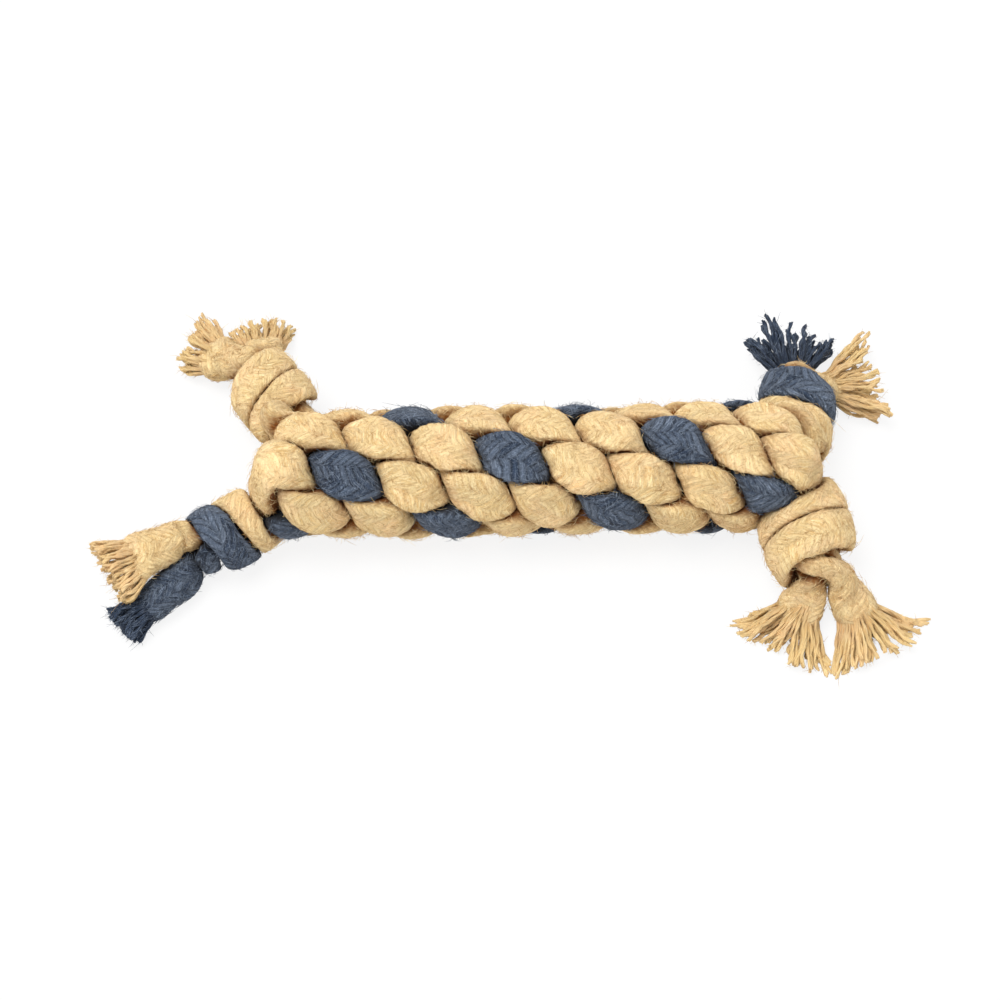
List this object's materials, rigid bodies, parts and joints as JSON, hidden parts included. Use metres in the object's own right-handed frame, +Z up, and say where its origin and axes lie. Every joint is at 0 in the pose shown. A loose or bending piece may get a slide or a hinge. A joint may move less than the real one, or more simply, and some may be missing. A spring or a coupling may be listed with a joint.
{
  "type": "rope dog toy",
  "caption": "Round plaited rope tug toy of blue and natural jute cords, knotted in pairs at both ends with frayed tails.",
  "frame": {"origin": "on the surface that the toy lies on, under the middle of its overall box", "axes": "+X along the plait towards the end where the blue cord's tuft stands back, +Z up, +Y towards the back knots"},
  "size_m": [0.2462, 0.1228, 0.0382],
  "materials": {
    "blue_jute": "dyed braided jute, matt and hairy",
    "natural_jute": "undyed braided jute, matt and hairy"
  },
  "bodies": {
    "root": {"blue_cord": "blue_jute", "jute_cord_1": "natural_jute", "jute_cord_2": "natural_jute", "jute_cord_3": "natural_jute"}
  },
  "joints": []
}
